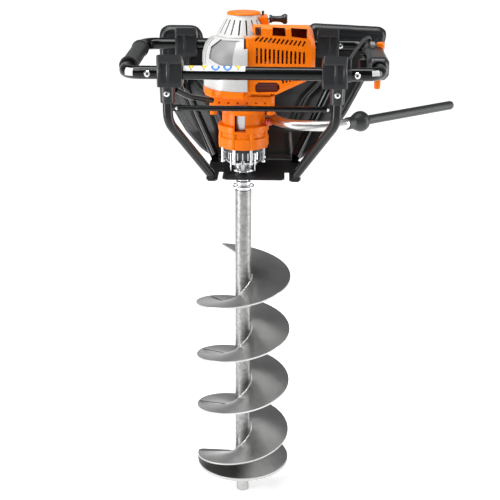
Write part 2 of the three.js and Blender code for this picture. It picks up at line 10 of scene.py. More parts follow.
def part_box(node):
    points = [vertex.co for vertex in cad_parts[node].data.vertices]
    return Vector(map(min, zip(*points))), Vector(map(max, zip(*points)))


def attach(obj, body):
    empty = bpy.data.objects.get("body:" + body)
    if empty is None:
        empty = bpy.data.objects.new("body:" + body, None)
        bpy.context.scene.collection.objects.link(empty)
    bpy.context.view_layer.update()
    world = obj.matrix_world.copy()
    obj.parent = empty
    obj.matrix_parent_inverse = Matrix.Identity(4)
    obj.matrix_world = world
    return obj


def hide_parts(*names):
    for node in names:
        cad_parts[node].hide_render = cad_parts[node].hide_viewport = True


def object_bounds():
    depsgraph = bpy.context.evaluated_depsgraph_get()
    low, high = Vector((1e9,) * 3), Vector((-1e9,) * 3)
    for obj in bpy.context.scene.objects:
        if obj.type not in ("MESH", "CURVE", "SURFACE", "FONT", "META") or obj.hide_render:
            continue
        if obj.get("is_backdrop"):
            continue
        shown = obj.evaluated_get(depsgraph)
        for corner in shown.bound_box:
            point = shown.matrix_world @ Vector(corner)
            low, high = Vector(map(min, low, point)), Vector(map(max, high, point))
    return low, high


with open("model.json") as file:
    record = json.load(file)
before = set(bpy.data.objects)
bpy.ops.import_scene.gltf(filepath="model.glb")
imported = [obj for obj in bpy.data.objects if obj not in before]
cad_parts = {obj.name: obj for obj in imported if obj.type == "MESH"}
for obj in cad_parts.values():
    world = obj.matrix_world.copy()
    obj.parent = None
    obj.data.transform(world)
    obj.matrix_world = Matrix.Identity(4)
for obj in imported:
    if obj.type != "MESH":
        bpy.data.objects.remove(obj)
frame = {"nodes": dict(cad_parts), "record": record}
cad_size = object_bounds()
nodes = frame["nodes"]
# Shapes are given in millimetres; bumps, merge distances, the floor, the lamps and the camera are in metres.
MM = 0.001
FLIGHT_Z, PITCH, TUBE_R = 30.7, 120.8, 16.6  # start and rise per turn of the screw, radius of its tube
RAIL_R, RAIL_Y, RAIL_Z = 12.5, 172.0, 973.0  # radius of the rails, and where they run along X
LEFT_BLOCK_X, RIGHT_BLOCK_X = -133.5, 177.5  # middles of the clamp blocks
SHARP = 38  # degrees between two faces from which their edge stays sharp
UP, RIGHT, FRONT, BACK = (0, 0, 1), (1, 0, 0), (0, -1, 0), (0, 1, 0)
CENTRE = (0, 0, 0)


# ---- materials ----
def principled(name, colour, roughness, metallic=0.0, coat=0.0, coat_roughness=0.05, shine=0.5):
    m = bpy.data.materials.new(name)
    m.use_nodes = True
    s = m.node_tree.nodes["Principled BSDF"]
    s.inputs["Base Color"].default_value = (*colour, 1.0)
    s.inputs["Roughness"].default_value = roughness
    s.inputs["Metallic"].default_value = metallic
    s.inputs["Coat Weight"].default_value = coat
    s.inputs["Coat Roughness"].default_value = coat_roughness
    s.inputs["Specular IOR Level"].default_value = shine
    return m


def grain(m, scale, strength, distance, detail=3.0):
    """A fine bump from noise in the object's own space."""
    t = m.node_tree
    where = t.nodes.new("ShaderNodeTexCoord")
    noise = t.nodes.new("ShaderNodeTexNoise")
    bump = t.nodes.new("ShaderNodeBump")
    noise.inputs["Scale"].default_value = scale
    noise.inputs["Detail"].default_value = detail
    bump.inputs["Strength"].default_value = strength
    bump.inputs["Distance"].default_value = distance
    t.links.new(where.outputs["Object"], noise.inputs["Vector"])
    t.links.new(noise.outputs["Fac"], bump.inputs["Height"])
    t.links.new(bump.outputs["Normal"], t.nodes["Principled BSDF"].inputs["Normal"])
    return m


def mottle(m, a, b, scale):
    """Base colour wandering between two close colours."""
    t = m.node_tree
    where = t.nodes.new("ShaderNodeTexCoord")
    noise = t.nodes.new("ShaderNodeTexNoise")
    ramp = t.nodes.new("ShaderNodeValToRGB")
    noise.inputs["Scale"].default_value = scale
    noise.inputs["Detail"].default_value = 4.0
    ramp.color_ramp.elements[0].position = 0.35
    ramp.color_ramp.elements[0].color = (*a, 1)
    ramp.color_ramp.elements[1].position = 0.65
    ramp.color_ramp.elements[1].color = (*b, 1)
    t.links.new(where.outputs["Object"], noise.inputs["Vector"])
    t.links.new(noise.outputs["Fac"], ramp.inputs["Fac"])
    t.links.new(ramp.outputs["Color"], t.nodes["Principled BSDF"].inputs["Base Color"])
    return m


ORANGE = (0.74, 0.15, 0.001)
LOOKS = {
    "orange_casting": grain(
        principled("orange_casting", ORANGE, 0.32, coat=0.06, coat_roughness=0.1, shine=0.12),
        900,
        0.25,
        0.0002,
    ),
    "orange_plastic": principled("orange_plastic", ORANGE, 0.3, coat=0.04, coat_roughness=0.12, shine=0.12),
    "white_plastic": principled("white_plastic", (0.46, 0.46, 0.457), 0.34, coat=0.1, coat_roughness=0.2),
    "grey_plastic": principled("grey_plastic", (0.2, 0.203, 0.2), 0.42),
    "tank_plastic": principled("tank_plastic", (0.68, 0.67, 0.62), 0.35),
    "black_plastic": grain(
        principled("black_plastic", (0.011, 0.012, 0.014), 0.3, shine=0.4), 2500, 0.3, 0.0001
    ),
    "red_plastic": principled("red_plastic", (0.45, 0.012, 0.012), 0.25, coat=0.5),
    "black_enamel": principled(
        "black_enamel", (0.002, 0.0025, 0.003), 0.14, coat=0.05, coat_roughness=0.04, shine=0.28
    ),
    "pad_foam": grain(
        principled("pad_foam", (0.005, 0.0057, 0.0066), 0.36, coat_roughness=0.3, shine=0.4),
        3000,
        0.25,
        0.0001,
    ),
    "soft_rubber": grain(principled("soft_rubber", (0.012, 0.013, 0.014), 0.42), 1800, 0.5, 0.0003),
    "bright_steel": principled("bright_steel", (0.82, 0.82, 0.83), 0.22, 1.0),
    "cast_metal": grain(principled("cast_metal", (0.62, 0.63, 0.65), 0.3, 1.0), 1200, 0.3, 0.0002),
    "bit_steel": grain(
        mottle(
            principled("bit_steel", (0.5, 0.498, 0.495), 0.32, 1.0),
            (0.44, 0.438, 0.436),
            (0.55, 0.548, 0.545),
            14,
        ),
        420,
        0.3,
        0.0004,
        5.0,
    ),
    "edge_steel": principled("edge_steel", (0.42, 0.417, 0.412), 0.35, 1.0),
    "muffler_steel": principled("muffler_steel", (0.12, 0.012, 0.01), 0.45),
}
LABEL_WHITE = principled("label_white", (0.72, 0.72, 0.715), 0.35)
BEND_PATCH = principled("bend_patch_grey", (0.5, 0.5, 0.5), 0.4)
LABEL_YELLOW = principled("label_yellow", (0.85, 0.55, 0.02), 0.4)
LABEL_BLUE = principled("label_blue", (0.03, 0.16, 0.5), 0.4)
LABEL_BLACK = principled("label_black", (0.02, 0.02, 0.02), 0.4)
ARM_STEEL = principled("arm_steel", (0.62, 0.615, 0.61), 0.34, 1.0)
TUBE_STEEL = grain(
    mottle(
        principled("tube_steel", (0.27, 0.268, 0.265), 0.38, 1.0),
        (0.22, 0.218, 0.216),
        (0.33, 0.328, 0.325),
        160,
    ),
    700,
    0.45,
    0.0005,
    5.0,
)
COVER_SHADE = principled("painted_cover_shade", (0.05, 0.05, 0.052), 0.4, 0.6)
SOCKET_SHADE = principled("painted_socket_shade", (0.01, 0.01, 0.01), 0.6)
GASKET = principled("gasket_black", (0.008, 0.008, 0.009), 0.45)
PLATE = principled("plate_black", (0.005, 0.0055, 0.006), 0.5, coat_roughness=0.0, shine=0.3)
WELD = principled("weld_dark", (0.05, 0.047, 0.045), 0.55, 0.8)


# ---- CAD nodes: finish, smooth shading and softened edges ----
# Width of each softened edge in millimetres.
SOFTENED = {
    "engine_shroud": 1.2, "fan_housing": 1.0, "starter_housing": 0.5, "starter_cap": 0.6,
    "gear_housing": 0.8, "crankcase": 1.2, "control_housing": 1.5, "throttle_trigger": 1.0,
    "trigger_lockout": 0.8, "air_filter_cover": 1.5, "fuel_tank": 1.5, "fuel_cap": 0.8,
    "base_plate": 0.7, "cross_bar": 0.5, "gearbox_cover": 0.5, "arm_socket": 1.0, "arm_latch": 0.8,
    "auger_tube": 0.8, "pilot_point": 0.8, "output_spindle": 0.6, "cylinder": 0.4, "muffler": 1.0,
    "carburettor": 0.8, "starter_grip": 0.6, "left_grip": 0.8, "arm_sleeve": 0.6, "cutting_blade": 0.4,
    "flight_turn_1": 0.5, "flight_turn_2": 0.5, "flight_turn_3": 0.5, "flight_turn_4": 0.5,
    "lower_flight": 0.6, "stop_button": 0.6, "lock_button": 0.6,
}
for part in ("fl", "fr", "rl", "rr"):
    SOFTENED["clamp_block_" + part] = 1.6


def edge_shading():
    """A node group that smooths every face and keeps the edges over an angle sharp."""
    g = bpy.data.node_groups.new("shade_by_angle", "GeometryNodeTree")
    g.is_modifier = True
    g.interface.new_socket("Geometry", in_out="INPUT", socket_type="NodeSocketGeometry")
    g.interface.new_socket("Angle", in_out="INPUT", socket_type="NodeSocketFloat")
    g.interface.new_socket("Geometry", in_out="OUTPUT", socket_type="NodeSocketGeometry")
    start, end = g.nodes.new("NodeGroupInput"), g.nodes.new("NodeGroupOutput")
    faces = g.nodes.new("GeometryNodeSetShadeSmooth")
    edges = g.nodes.new("GeometryNodeSetShadeSmooth")
    angle = g.nodes.new("GeometryNodeInputMeshEdgeAngle")
    over = g.nodes.new("FunctionNodeCompare")
    edges.domain = "EDGE"
    edges.inputs["Shade Smooth"].default_value = False
    over.operation = "GREATER_THAN"
    g.links.new(start.outputs["Geometry"], faces.inputs["Geometry"])
    g.links.new(faces.outputs["Geometry"], edges.inputs["Geometry"])
    g.links.new(angle.outputs["Unsigned Angle"], over.inputs["A"])
    g.links.new(start.outputs["Angle"], over.inputs["B"])
    g.links.new(over.outputs["Result"], edges.inputs["Selection"])
    g.links.new(edges.outputs["Geometry"], end.inputs["Geometry"])
    return g


SHADING = edge_shading()


def shade(o):
    m = o.modifiers.new("shading", "NODES")
    m.node_group = SHADING
    m[SHADING.interface.items_tree["Angle"].identifier] = math.radians(SHARP)


def whole(o):
    """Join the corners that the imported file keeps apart, and forget its flat normals."""
    for name in ("custom_normal", "sharp_edge", "sharp_face"):
        if name in o.data.attributes:
            o.data.attributes.remove(o.data.attributes[name])
    weld = o.modifiers.new("weld", "WELD")
    weld.merge_threshold = 1e-5


def soften(o, width):
    """Merge the faces that lie flat together, then bevel the edges that are left."""
    flat = o.modifiers.new("flat", "DECIMATE")
    flat.decimate_type = "DISSOLVE"
    flat.angle_limit = math.radians(0.8)
    b = o.modifiers.new("edges", "BEVEL")
    b.width = width * MM
    b.segments = 2
    b.limit_method = "ANGLE"
    b.angle_limit = math.radians(34)
    b.use_clamp_overlap = True


for entry in frame["record"]["subparts"]:
    o = nodes[entry["node"]]
    o.data.materials.clear()
    o.data.materials.append(LOOKS[entry["material_slot"]])
    whole(o)
    if o.name in SOFTENED:
        soften(o, SOFTENED[o.name])
    shade(o)
    if o.name in SOFTENED:
        o.modifiers.new("normals", "WEIGHTED_NORMAL").keep_sharp = True


def second_look(node, look, test):
    """Give the faces of a node that pass a test another material."""
    me = nodes[node].data
    me.materials.append(look)
    for f in me.polygons:
        c = f.center
        r = math.hypot(c.x, c.y)
        out = Vector((c.x, c.y, 0)) / max(r, 1e-6)
        if test(r * 1000, c.z * 1000, math.degrees(math.atan2(c.y, c.x)) % 360, f.normal, out):
            f.material_index = 1


# Height and outer radius of the fan housing's skin.
SKIN = ((919, 79), (940, 80), (960, 81), (985, 80), (1000, 75), (1011, 66), (1018, 54.5))


def sunk(r, z, angle, normal, out):
    """Whether a face is on the floor of the fan housing's panel: inside the skin and facing outwards."""
    skin = np.interp(z, [k[0] for k in SKIN], [k[1] for k in SKIN])
    return 214 < angle < 259 and 966 < z < 1014 and skin - r > 1.0 and normal.dot(out) > 0.2


def rim(r, z, angle, normal, out):
    """Whether a face is on the outer rim of the screw."""
    return r > 90 and normal.dot(out) > 0.7


# The sunk panel of the fan housing is painted grey as the shade in its hollow, and the outer rims of the top
# and the lowest turn get a steel of their own.
second_look("fan_housing", LOOKS["grey_plastic"], sunk)
# The rims' steel is a little darker and rougher than the screw's.
for name in ("flight_turn_1", "lower_flight"):
    second_look(name, LOOKS["edge_steel"], rim)
nodes["support_arm"].data.materials[0] = ARM_STEEL
nodes["base_plate"].data.materials[0] = PLATE
nodes["auger_tube"].data.materials[0] = TUBE_STEEL


# ---- helpers for pieces ----
def piece(name, verts, faces, material, body="frame", sharp=SHARP):
    """A mesh from points in millimetres, riding on a body."""
    me = bpy.data.meshes.new(name)
    me.from_pydata([Vector(v) * MM for v in verts], [], faces)
    bm = bmesh.new()
    bm.from_mesh(me)
    bmesh.ops.remove_doubles(bm, verts=bm.verts, dist=1e-6)
    bmesh.ops.recalc_face_normals(bm, faces=bm.faces)
    bm.to_mesh(me)
    bm.free()
    o = bpy.data.objects.new(name, me)
    bpy.context.scene.collection.objects.link(o)
    me.materials.append(material)
    me.shade_smooth()
    me.set_sharp_from_angle(angle=math.radians(sharp))
    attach(o, body)
    return o


def basis(direction):
    """Three square unit directions, the last one along the direction given."""
    w = Vector(direction).normalized()
    u = w.orthogonal().normalized()
    return u, w.cross(u), w


class Parts:
    """Several small turned bodies and bars that make one piece."""

    def __init__(self):
        self.verts, self.faces = [], []

    def turned(self, profile, origin, direction, segs=24):
        """A turned body from (radius, height) pairs along a direction."""
        u, v, w = basis(direction)
        n, start = len(profile), len(self.verts)
        for i in range(segs):
            a = 2 * math.pi * i / segs
            for r, h in profile:
                self.verts.append(Vector(origin) + (u * math.cos(a) + v * math.sin(a)) * r + w * h)
        for i in range(segs):
            j = (i + 1) % segs
            for k in range(n - 1):
                ring = (i * n + k, j * n + k, j * n + k + 1, i * n + k + 1)
                self.faces.append([start + q for q in ring])
        return self

    def bar(self, a, b, across, width, thick):
        """A square-edged bar between two points."""
        a, b, side = Vector(a), Vector(b), Vector(across).normalized() * width / 2
        up, start = (b - a).cross(side).normalized() * thick / 2, len(self.verts)
        self.verts += [p + s * side + t * up for p in (a, b) for s in (-1, 1) for t in (-1, 1)]
        for face in ((0, 1, 3, 2), (4, 6, 7, 5), (0, 4, 5, 1), (2, 3, 7, 6), (0, 2, 6, 4), (1, 5, 7, 3)):
            self.faces.append([start + q for q in face])
        return self

    def done(self, name, material, body="frame", slot=None):
        return piece(name, self.verts, self.faces, material, body)


def on_front_rail(x, degrees, radius):
    """A point on the front rail, from the height of its front edge upwards in degrees."""
    t = math.radians(degrees)
    return (x, -RAIL_Y - radius * math.cos(t), RAIL_Z + radius * math.sin(t))


def sign(name, rows, radius, material, thick=0.15):
    """A shape wrapped on the front rail, from rows of (x, degrees), left and right."""
    verts = [on_front_rail(x, a, r) for r in (radius, radius + thick) for row in rows for x, a in row]
    n, faces = len(rows), []
    for base in (0, 2 * n):
        for k in range(n - 1):
            i = base + 2 * k
            faces.append((i, i + 1, i + 3, i + 2))
    ring = [2 * k for k in range(n)] + [2 * k + 1 for k in reversed(range(n))]
    for k, i in enumerate(ring):
        j = ring[(k + 1) % len(ring)]
        faces.append((i, j, j + 2 * n, i + 2 * n))
    return piece(name, verts, faces, material)


def strip(name, x0, x1, a0, a1, radius, material, steps, thick=0.3):
    """A strip wrapped on the front rail, from x0 to x1 and from a0 to a1 degrees."""
    verts, faces = [], []
    for r in (radius, radius + thick):
        for x in (x0, x1):
            for k in range(steps + 1):
                verts.append(on_front_rail(x, a0 + (a1 - a0) * k / steps, r))
    m = steps + 1
    for layer in (0, 2):
        for k in range(steps):
            faces.append((layer * m + k, layer * m + k + 1, (layer + 1) * m + k + 1, (layer + 1) * m + k))
    for side in (0, 1):
        for k in range(steps):
            faces.append((side * m + k, side * m + k + 1, (side + 2) * m + k + 1, (side + 2) * m + k))
    for k in (0, steps):
        faces.append((k, m + k, 3 * m + k, 2 * m + k))
    return piece(name, verts, faces, material)


# ---- label strip with blank signs, and light grey patches on the handle bends ----
# A sign is so many millimetres wide to each side, and reaches so many degrees round the rail to each side.
TRIANGLE_HALF, TRIANGLE_MID, TRIANGLE_REACH = 7.8, 68, 40
DISC_HALF, DISC_MID, DISC_REACH = 8.6, 67, 38
LOW_LIFT, HIGH_LIFT = 0.45, 0.6  # heights of a sign and of the shape on it over the rail
strip("label_strip", -103, 9.5, 26, 134, RAIL_R + 0.15, LABEL_WHITE, 14)
for i, x in enumerate((-89, -65, -3.2)):
    for size, lift, look in ((1.0, LOW_LIFT, LABEL_BLACK), (0.72, HIGH_LIFT, LABEL_YELLOW)):
        low, high = TRIANGLE_MID - TRIANGLE_REACH * size, TRIANGLE_MID + TRIANGLE_REACH * size
        rows = []
        for t in np.linspace(0.02, 1, 12):
            rows.append([(x + TRIANGLE_HALF * size * t * way, low + (high - low) * t) for way in (-1, 1)])
        sign("sign_triangle_%d_%d" % (i + 1, lift * 100), rows, RAIL_R + lift, look)
for i, x in enumerate((-44.5, -22.6)):
    for size, lift, look in ((1.0, LOW_LIFT, LABEL_BLUE), (0.45, HIGH_LIFT, LABEL_WHITE)):
        rows = []
        for k in range(15):
            t = math.pi * (0.02 + 0.96 * k / 14)
            wide, angle = DISC_HALF * size * math.sin(t), DISC_MID - DISC_REACH * size * math.cos(t)
            rows.append([(x + way * wide, angle) for way in (-1, 1)])
        sign("sign_disc_%d_%d" % (i + 1, lift * 100), rows, RAIL_R + lift, look)


def arc_patch(name, centre, side, t0, t1, a0, a1):
    """A light grey patch wrapped on the front bend of a handle: t runs along the bend, a round the tube."""
    n, m, bend = 9, 9, 28  # points along and round the patch, radius of the bend
    verts, faces = [], []
    for r in (RAIL_R + 0.15, RAIL_R + 0.5):
        for i in range(n):
            t = math.radians(t0 + (t1 - t0) * i / (n - 1))
            out = Vector((side * math.sin(t), -math.cos(t), 0))
            for k in range(m):
                a = math.radians(a0 + (a1 - a0) * k / (m - 1))
                rise = Vector((0, 0, r * math.sin(a)))
                verts.append(Vector(centre) + out * (bend + r * math.cos(a)) + rise)
    for base in (0, n * m):
        for i in range(n - 1):
            for k in range(m - 1):
                q = base + i * m + k
                faces.append((q, q + 1, q + m + 1, q + m))
    ring = list(range(m)) + [i * m + m - 1 for i in range(1, n)]
    ring += [(n - 1) * m + k for k in reversed(range(m - 1))] + [i * m for i in reversed(range(1, n - 1))]
    for k, i in enumerate(ring):
        j = ring[(k + 1) % len(ring)]
        faces.append((i, j, j + n * m, i + n * m))
    return piece(name, verts, faces, BEND_PATCH)


arc_patch("bend_patch_left", (-184, -144, RAIL_Z), -1, 16, 40, -22, 44)
arc_patch("bend_patch_right", (229, -144, RAIL_Z), 1, 14, 36, -6, 40)


# ---- weld seams on the screw ----
def on_flight(r, angle, lift=2.05):
    """A point on top of the screw, at a radius and an angle that counts on through the turns."""
    t = math.radians(angle)
    return Vector((r * math.cos(t), r * math.sin(t), FLIGHT_Z + PITCH * angle / 360 + lift))


# Each seam: its turn, then (radius, degrees) of its outer and its inner end.
seams = Parts()
for turn, outer, inner in ((1, (97, 173), (48, 220)), (2, (95, 159), (44, 203)), (3, (93, 141), (52, 150))):
    ends = [on_flight(r, 360 * turn + a) for r, a in (outer, inner)]
    seams.bar(ends[0], ends[1], BACK, 1.6, 0.8)
seams.done("weld_seams", WELD, "bit", "bit_steel")


def weld_bead():
    """A rippled bead of weld along the foot of the screw."""
    sides, steps, radius, first, last = 8, 420, 2.3, 150, 4 * 360
    verts, faces = [], []
    for i in range(steps + 1):
        a = first + (last - first) * i / steps
        ripple = 1 + 0.16 * math.sin(i * 2.1) + 0.1 * math.sin(i * 0.73)
        foot, t = on_flight(TUBE_R + 1.0, a, 2.2), math.radians(a)
        for k in range(sides):
            b = 2 * math.pi * k / sides
            out, rise = radius * ripple * math.cos(b), radius * ripple * math.sin(b)
            verts.append(foot + Vector((math.cos(t) * out, math.sin(t) * out, rise)))
    for i in range(steps):
        for k in range(sides):
            n, p = i * sides, (k + 1) % sides
            faces.append((n + k, n + p, n + sides + p, n + sides + k))
    faces.append(tuple(reversed(range(sides))))
    faces.append(tuple(steps * sides + k for k in range(sides)))
    return piece("weld_bead", verts, faces, LOOKS["bit_steel"], "bit", 60)


weld_bead()

# ---- gearbox cover: gasket, ribs and screws, and a dark ring painted as the shade behind the ribs ----
gasket = [(38, 789.6), (43, 789.6), (43, 796.7), (38, 796.7), (38, 789.6)]
Parts().turned(gasket, CENTRE, UP, 48).done("gasket_ring", GASKET)
# A dark ring painted as the shade behind the cover's ribs.
shadow = [(31.5, 767.6), (33, 767.6), (38.3, 775.6), (38.3, 789.4)]
shadow += [(36.8, 789.4), (36.8, 776), (31.5, 768.6), (31.5, 767.6)]
Parts().turned(shadow, CENTRE, UP, 48).done("cover_shadow", COVER_SHADE)
cage, screws, sockets = Parts(), Parts(), Parts()
RIBS, RIB_WIDTH, RIB_THICK = 24, 2.2, 2.6
SCREW = [(0, 0), (4.2, 0), (4.2, 3.4), (2.4, 3.6), (2.4, 2.0), (0, 2.0)]
for k in range(RIBS):
    a = 2 * math.pi * k / RIBS
    out, along = Vector((math.cos(a), math.sin(a), 0)), (-math.sin(a), math.cos(a), 0)
    for (r0, z0), (r1, z1) in (((39, 774), (39, 789)), ((32, 767), (38.4, 775))):
        cage.bar(out * r0 + Vector((0, 0, z0)), out * r1 + Vector((0, 0, z1)), along, RIB_WIDTH, RIB_THICK)
cage.turned([(30.5, 764.4), (33.6, 764.4), (33.6, 767.8), (30.5, 767.8), (30.5, 764.4)], CENTRE, UP, 48)
for k in range(8):
    a = math.radians(45 * k + 22.5)
    screws.turned(SCREW, (44 * math.cos(a), 44 * math.sin(a), 770), (0, 0, -1), 18)
for x in (-24, 24):
    screws.turned([(0, 752), (1.7, 752), (1.7, 789), (0, 789)], (x, -33, 0), UP, 12)
cage.bar((0, -33, 752), (0, -33, 786), RIGHT, 7, 6)
cage.done("cover_ribs", LOOKS["cast_metal"], slot="cast_metal")
screws.done("cover_screws", LOOKS["bright_steel"], slot="bright_steel")

# ---- lower end of the throttle cable, clipped to the front rail ----
CABLE_END = (198.4, -178.5, 1002.2)
DROP = 17  # from the cable's end down to the clip
tail = Parts().turned([(0, -3.3), (2.3, -2.4), (3.3, 0), (2.3, 2.4), (0, 3.3)], CABLE_END, UP, 16)
tail.turned([(0, -DROP), (3.2, -DROP), (3.2, 0), (0, 0)], CABLE_END, UP, 16)
clip = [(12.6, 0), (14.2, 0), (14.2, 6.4), (12.6, 6.4), (12.6, 0)]
tail.turned(clip, (195.4, -RAIL_Y, RAIL_Z), RIGHT, 40)
tail.done("cable_end", LOOKS["soft_rubber"], slot="soft_rubber")

# ---- rope guide on top of the turret ----
guide = Parts().bar((37, 10, 1055), (37, 10, 1061), BACK, 5, 4)
guide.turned([(0, 0), (2.6, 0), (2.6, 9), (0, 9)], (37, 6, 1060.5), BACK, 14)
guide.done("rope_guide", LOOKS["black_plastic"], slot="black_plastic")

# ---- a ribbed dark red slab, painted as the shade seen through the shroud's low window ----
shade_slab = Parts().bar((21, -60.5, 929.5), (67, -60.5, 929.5), UP, 27, 2)
for z in (921, 927, 933, 939):
    shade_slab.bar((21, -62, z), (67, -62, z), UP, 1.6, 1.4)
shade_slab.done("painted_shade_slab", principled("painted_shade_red", (0.13, 0.012, 0.003), 0.4), slot="orange_plastic")

# ---- screws of the frame: bright flanged heads, with dark discs painted as the shade in their sockets ----
FLANGED = [(0, 0), (5.6, 0), (5.6, 1.3), (4.6, 1.6), (4.2, 3.4), (2.4, 3.6), (2.3, 2.2), (0, 2.2)]
heads = Parts()
# How far the screws at the legs' tops stand out from the middle of the rail, and their height.
LEG_SCREW_OUT, LEG_SCREW_Z = 14, 937
spots = []
for side in (-1, 1):
    for x in (LEFT_BLOCK_X, RIGHT_BLOCK_X):
        spots.append(((x, side * (RAIL_Y + LEG_SCREW_OUT), LEG_SCREW_Z), side))
spots += [((x, RAIL_Y - 12.4, RAIL_Z), -1) for x in (-141.6, 197.5)]
for place, way in spots:
    heads.turned(FLANGED, place, (0, way, 0))
    # A dark disc painted as the shade in the head's socket.
    sockets.turned([(0, 2.3), (2.25, 2.3), (2.25, 2.6), (0, 2.6)], place, (0, way, 0), 12)
for x in (LEFT_BLOCK_X + 17, RIGHT_BLOCK_X - 17):
    heads.turned([(r * 0.62, h * 0.62) for r, h in FLANGED], (x, -RAIL_Y - 2, 908), FRONT)
heads.done("frame_screws", LOOKS["bright_steel"], slot="bright_steel")
for tag, way in (("fl", -1), ("fr", -1), ("rl", 1), ("rr", 1)):
    low, high = (v * 1000 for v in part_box("handle_screw_" + tag))
    end = Vector(((low.x + high.x) / 2, low.y if way < 0 else high.y, (low.z + high.z) / 2))
    # A dark disc painted as the shade in the socket at the screw's end.
    sockets.turned([(0, 0), (2.4, 0), (2.4, 0.3), (0, 0.3)], end, (0, way, 0), 12)
sockets.done("screw_socket_shades", SOCKET_SHADE, slot="bright_steel")


# ---- moulded parts: corners and ribs rounded as they come out of a mould ----
SPARE, TRAVEL, BEYOND = 0.3, 3.6, 20  # gap round a button, room under it, and how far a cutter runs past it


def plug(button, outward):
    """A cutter as wide as a button and its gap, from the end of the button's travel outwards along Z."""
    co = np.array([v.co for v in nodes[button].data.vertices]) * 1000
    low, high = co.min(axis=0), co.max(axis=0)
    under, over = (TRAVEL, BEYOND) if outward > 0 else (BEYOND, TRAVEL)
    ends = (low[2] - under, high[2] + over)
    bm = bmesh.new()
    radius = ((high[0] - low[0]) / 2 + SPARE) * MM
    depth = (ends[1] - ends[0]) * MM
    bmesh.ops.create_cone(bm, cap_ends=True, segments=40, radius1=radius, radius2=radius, depth=depth)
    centre = Vector(((low[0] + high[0]) / 2, (low[1] + high[1]) / 2, (ends[0] + ends[1]) / 2)) * MM
    bmesh.ops.translate(bm, verts=bm.verts, vec=centre)
    me = bpy.data.meshes.new("plug")
    bm.to_mesh(me)
    bm.free()
    o = bpy.data.objects.new("plug", me)
    bpy.context.scene.collection.objects.link(o)
    return o


def moulded(name, node, voxel, passes, look, pockets=()):
    """A smoothed copy of a node that shows in its place, with the pockets of its buttons cut again."""
    o = bpy.data.objects.new(name, nodes[node].data.copy())
    bpy.context.scene.collection.objects.link(o)
    remesh = o.modifiers.new("remesh", "REMESH")
    remesh.mode = "VOXEL"
    remesh.voxel_size = voxel * MM
    smooth = o.modifiers.new("relax", "SMOOTH")
    smooth.iterations = passes
    smooth.factor = 0.5
    plugs = [plug(button, outward) for button, outward in pockets]
    for cutter in plugs:
        cut = o.modifiers.new("pocket", "BOOLEAN")
        cut.operation = "DIFFERENCE"
        cut.solver = "EXACT"
        cut.object = cutter
    done = bpy.data.meshes.new_from_object(o.evaluated_get(bpy.context.evaluated_depsgraph_get()))
    o.modifiers.clear()
    for cutter in plugs:
        bpy.data.objects.remove(cutter)
    o.data = done
    done.materials.clear()
    done.materials.append(look)
    done.shade_smooth()
    if pockets:
        done.set_sharp_from_angle(angle=math.radians(SHARP))
    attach(o, "frame")
    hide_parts(node)
    return o


coarse = 1.0
for tag in ("fl", "fr", "rl", "rr"):
    moulded("clamp_block_%s_moulded" % tag, "clamp_block_" + tag, 1.0 * coarse, 4, LOOKS["black_plastic"])
moulded(
    "control_housing_moulded",
    "control_housing",
    1.4 * coarse,
    7,
    LOOKS["black_plastic"],
    pockets=(("stop_button", 1), ("lock_button", -1)),
)


# ---- hip pad: moulded foam, crowned, with a welt inside its rim and a fold at each wing ----
FOLD_TOP = 905
FOLD_Z = (740, 800, 860, FOLD_TOP)
FOLD_X = ((96, 90, 122, 170), (-52, -56, -84, -128))  # the right and the left fold at those heights
CROWN, CROWN_REACH = 2.4, 22  # its height, and how far from the rim it rises
WELT, WELT_INSIDE, WELT_WIDTH = 1.3, 15, 3.2  # its depth, distance from the rim and width


def rim_lines(node, turn=50):
    """The sharp edges of a node, as two lists of end points in millimetres."""
    bm = bmesh.new()
    bm.from_mesh(nodes[node].data)
    bmesh.ops.remove_doubles(bm, verts=bm.verts, dist=1e-5)
    sharp = [e for e in bm.edges if e.is_manifold and e.calc_face_angle() > math.radians(turn)]
    ends = [np.array([e.verts[k].co * 1000 for e in sharp]) for k in (0, 1)]
    bm.free()
    return ends


def relax(me, co, weight, passes):
    """Draw points towards the middle of their neighbours, each by its own weight."""
    ends = np.zeros(len(me.edges) * 2, dtype=int)
    me.edges.foreach_get("vertices", ends)
    a, b, n = ends[0::2], ends[1::2], len(co)
    count = np.maximum(np.bincount(ends, minlength=n), 1)
    for _ in range(passes):
        near = [(np.bincount(a, co[b, k], n) + np.bincount(b, co[a, k], n)) / count for k in range(3)]
        co = co + (np.stack(near, axis=1) - co) * (0.5 * weight)[:, None]
    return co


def far_from(points, starts, ends):
    """How far each point is from the nearest of some straight lines."""
    best = np.full(len(points), 1e9)
    for a, b in zip(starts, ends):
        along = np.clip((points - a) @ (b - a) / max((b - a) @ (b - a), 1e-9), 0, 1)
        best = np.minimum(best, np.linalg.norm(points - a - along[:, None] * (b - a), axis=1))
    return best


def pad():
    """The pad's skin: an even rim, a crown that rises from it, a welt along it and a fold at each wing."""
    o = moulded("hip_pad_skin", "hip_pad", 3.2, 6, LOOKS["pad_foam"])
    me = o.data
    n = len(me.vertices)
    co, no = np.zeros(n * 3), np.zeros(n * 3)
    me.vertices.foreach_get("co", co)
    co = co.reshape(-1, 3) * 1000
    inside = far_from(co, *rim_lines("hip_pad"))
    near_rim = np.clip((11 - inside) / 5, 0, 1)
    co = relax(me, co, near_rim, 24)
    me.vertices.foreach_set("co", (co / 1000).ravel())
    me.update()
    me.vertices.foreach_get("normal", no)
    no = no.reshape(-1, 3)
    push = CROWN * (1 - np.exp(-inside / CROWN_REACH))
    push -= WELT * np.exp(-(((inside - WELT_INSIDE) / WELT_WIDTH) ** 2))
    for places in FOLD_X:
        across = co[:, 0] - np.interp(co[:, 2], FOLD_Z, places)
        fade = np.clip((FOLD_TOP - co[:, 2]) / 30, 0, 1) * np.clip(inside / 12, 0, 1)
        ridge, groove = np.exp(-(((across - 9) / 7) ** 2)), np.exp(-((across / 5) ** 2))
        push += fade * (2.8 * ridge - 3.4 * groove)
    co += no * push[:, None]
    me.vertices.foreach_set("co", (co / 1000).ravel())
    me.update()


pad()


